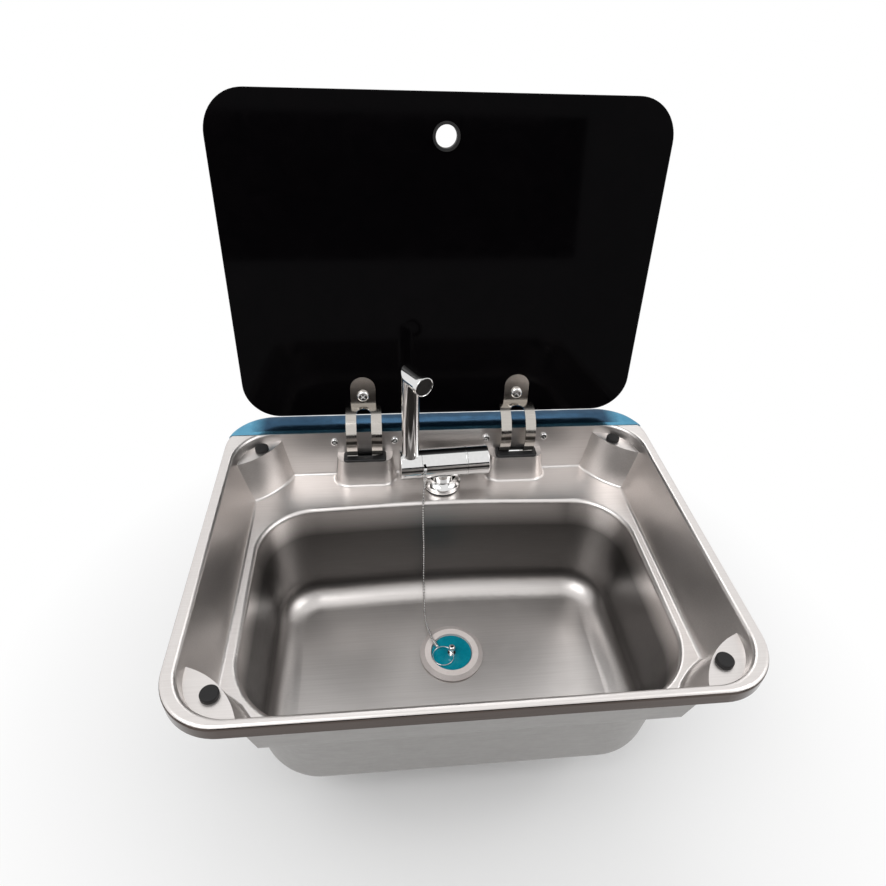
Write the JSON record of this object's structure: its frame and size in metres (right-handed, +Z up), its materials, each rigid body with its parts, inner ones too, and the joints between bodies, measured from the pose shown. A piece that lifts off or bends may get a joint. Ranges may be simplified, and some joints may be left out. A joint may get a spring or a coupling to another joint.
{
  "type": "caravan sink with glass lid",
  "caption": "Inset rectangular bowl with a hinged black glass lid, a fold-down mixer tap and a bottom waste with plug and chain.",
  "frame": {"origin": "centre of the worktop cut-out, in the plane of the worktop that the rim's turned-down lip stands on", "axes": "+Z up, +Y towards the hinges at the back, +X to the user's right"},
  "size_m": [0.424, 0.3602, 0.5237],
  "materials": {
    "stainless": "satin brushed stainless sheet",
    "black_glass": "polished black toughened glass",
    "rubber": "matt black rubber",
    "black_plastic": "matt moulded black plastic",
    "film": "thin clear blue protective film",
    "chrome": "polished chrome plate",
    "zinc_steel": "bright zinc plated steel",
    "steel_screen": "woven fine steel screen",
    "brass": "plain turned brass",
    "copper": "plain drawn copper",
    "cream_plastic": "moulded off-white plastic",
    "teal_plastic": "moulded blue-green plastic"
  },
  "bodies": {
    "sink": {"sink_shell": "stainless", "rim_seal": "rubber", "protective_film": "film", "rubber_bumpers": "rubber", "hinge_grommet_left": "black_plastic", "hinge_grommet_right": "black_plastic", "hinge_pin_left": "zinc_steel", "hinge_pin_right": "zinc_steel", "hinge_bracket_left": "zinc_steel", "hinge_bracket_right": "zinc_steel", "bracket_screws": "stainless", "bracket_nuts": "zinc_steel", "tap_seal": "rubber", "tap_base": "chrome", "tap_body": "chrome", "seam_ring": "chrome", "tap_cartridge": "brass", "tap_shank": "brass", "tap_washer": "zinc_steel", "tap_nut": "brass", "inlet_tails": "copper", "waste_flange": "cream_plastic", "waste_seal": "rubber", "waste_washer": "rubber", "waste_nut": "cream_plastic", "waste_elbow": "cream_plastic", "ball_chain": "chrome"},
    "lid": {"glass_lid": "black_glass", "hinge_arm_left": "stainless", "hinge_arm_right": "stainless", "tab_gaskets": "rubber", "tab_screws": "chrome", "cap_nuts": "rubber", "finger_grommet": "rubber"},
    "collar": {"tap_collar": "chrome"},
    "spout": {"tap_arm": "chrome", "aerator_ring": "chrome", "aerator_screen": "steel_screen"},
    "handle": {"tap_handle": "chrome"},
    "plug_body": {"plug": "teal_plastic", "plug_knob": "chrome", "split_ring": "zinc_steel", "chain_coupling": "chrome"}
  },
  "joints": [
    {"name": "lid_hinge", "type": "hinge", "parent": "sink", "child": "lid", "pos_m": [0, 0.1523, 0.0041], "axis": [1, 0, 0], "range_deg": [0, 96.56]},
    {"name": "tap_fold", "type": "hinge", "parent": "sink", "child": "collar", "pos_m": [0, 0.112, -0.01], "axis": [0.9978, 0.0663, 0], "range_deg": [0, 90.01]},
    {"name": "spout_swivel", "type": "hinge", "parent": "collar", "child": "spout", "pos_m": [-0.03293, 0.10981, 0], "axis": [0, 0, 1], "range_deg": [-117, 63]},
    {"name": "tap_handle_turn", "type": "hinge", "parent": "sink", "child": "handle", "pos_m": [0, 0.112, -0.01], "axis": [0.9978, 0.0663, 0], "range_deg": [0, 90]},
    {"name": "plug_lift", "type": "slide", "parent": "sink", "child": "plug_body", "axis": [0, 0, 1], "range_m": [0, 0.045]}
  ],
  "couplings": [
    {"joint": "tap_fold", "follows": "lid_hinge", "ratio": 0.93206}
  ]
}
